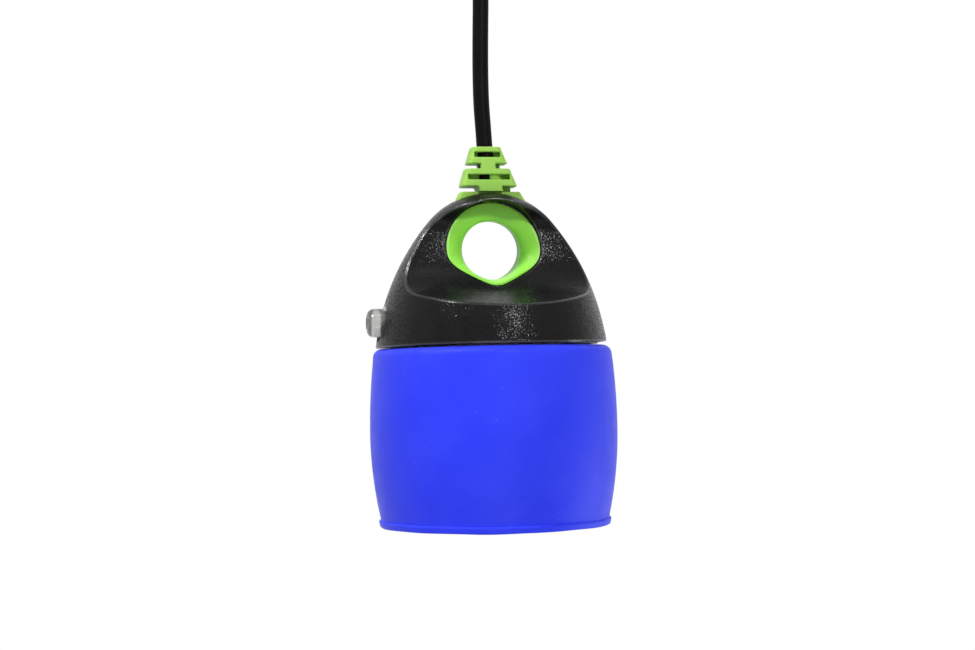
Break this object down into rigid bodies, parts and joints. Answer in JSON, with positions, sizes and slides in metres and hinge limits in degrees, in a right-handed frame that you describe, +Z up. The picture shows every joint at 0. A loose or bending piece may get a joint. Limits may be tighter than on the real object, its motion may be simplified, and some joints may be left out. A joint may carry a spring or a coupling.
{
  "type": "hanging camp light",
  "caption": "Small hanging light: flexible open shade under a moulded dome with a lined hang ring, slotted strain relief, cord with barrel plug, and stoppered side socket.",
  "frame": {"origin": "centre of the hang ring's bore, in the middle of the housing's tab", "axes": "+Z up along the light's axis towards the cord, +Y along the ring's bore towards the rear, -X towards the side port"},
  "size_m": [0.0804, 0.08, 0.2101],
  "materials": {
    "housing_black": "moulded ABS, fine spark-eroded grain, satin",
    "liner_green": "moulded TPE, satin",
    "boot_green": "moulded TPE, satin",
    "shade_blue": "moulded silicone, soft matte",
    "stopper_clear": "moulded clear silicone",
    "cord_black": "extruded PVC jacket, satin",
    "plate_white": "moulded ABS",
    "diffuser_frost": "moulded frosted polycarbonate",
    "spreader_aluminium": "pressed sheet",
    "board_white": "aluminium-core board with white solder mask",
    "chip_phosphor": "LED package with phosphor",
    "screw_steel": "zinc-plated steel",
    "board_green": "glass-epoxy board with green solder mask",
    "coil_grey": "ferrite drum",
    "can_aluminium": "capacitor can",
    "chip_black": "moulded epoxy package",
    "socket_black": "moulded nylon",
    "contact_brass": "plated brass",
    "plug_nickel": "nickel-plated brass",
    "wire_red": "PVC insulation",
    "wire_black": "PVC insulation",
    "plug_black": "moulded PVC",
    "insulator_grey": "moulded nylon"
  },
  "bodies": {
    "lamp": {"housing": "housing_black", "ring_liner_front": "liner_green", "ring_liner_rear": "liner_green", "cord_boot": "boot_green", "cord_tail": "cord_black", "lead_positive": "wire_red", "lead_negative": "wire_black", "base_plate": "plate_white", "housing_screws": "screw_steel", "heat_spreader": "spreader_aluminium", "led_board": "board_white", "led_chips": "chip_phosphor", "led_board_screws": "screw_steel", "led_leads": "wire_red", "diffuser": "diffuser_frost", "driver_board": "board_green", "board_screws": "screw_steel", "inductor": "coil_grey", "capacitor": "can_aluminium", "driver_chip": "chip_black", "port_socket": "socket_black", "port_pin": "contact_brass", "port_spring": "contact_brass", "port_leads": "wire_black", "cord": "cord_black", "plug_relief": "plug_black", "plug_body": "plug_black", "plug_sleeve": "plug_nickel", "plug_insulator": "insulator_grey", "plug_contact": "contact_brass"},
    "shade": {"shade": "shade_blue"},
    "stopper": {"port_stopper": "stopper_clear"}
  },
  "joints": [
    {"name": "shade_pull", "type": "slide", "parent": "lamp", "child": "shade", "axis": [0, 0, -1], "range_m": [0, 0.04]},
    {"name": "stopper_pull", "type": "slide", "parent": "lamp", "child": "stopper", "axis": [-1, 0, 0], "range_m": [0, 0.01]}
  ]
}
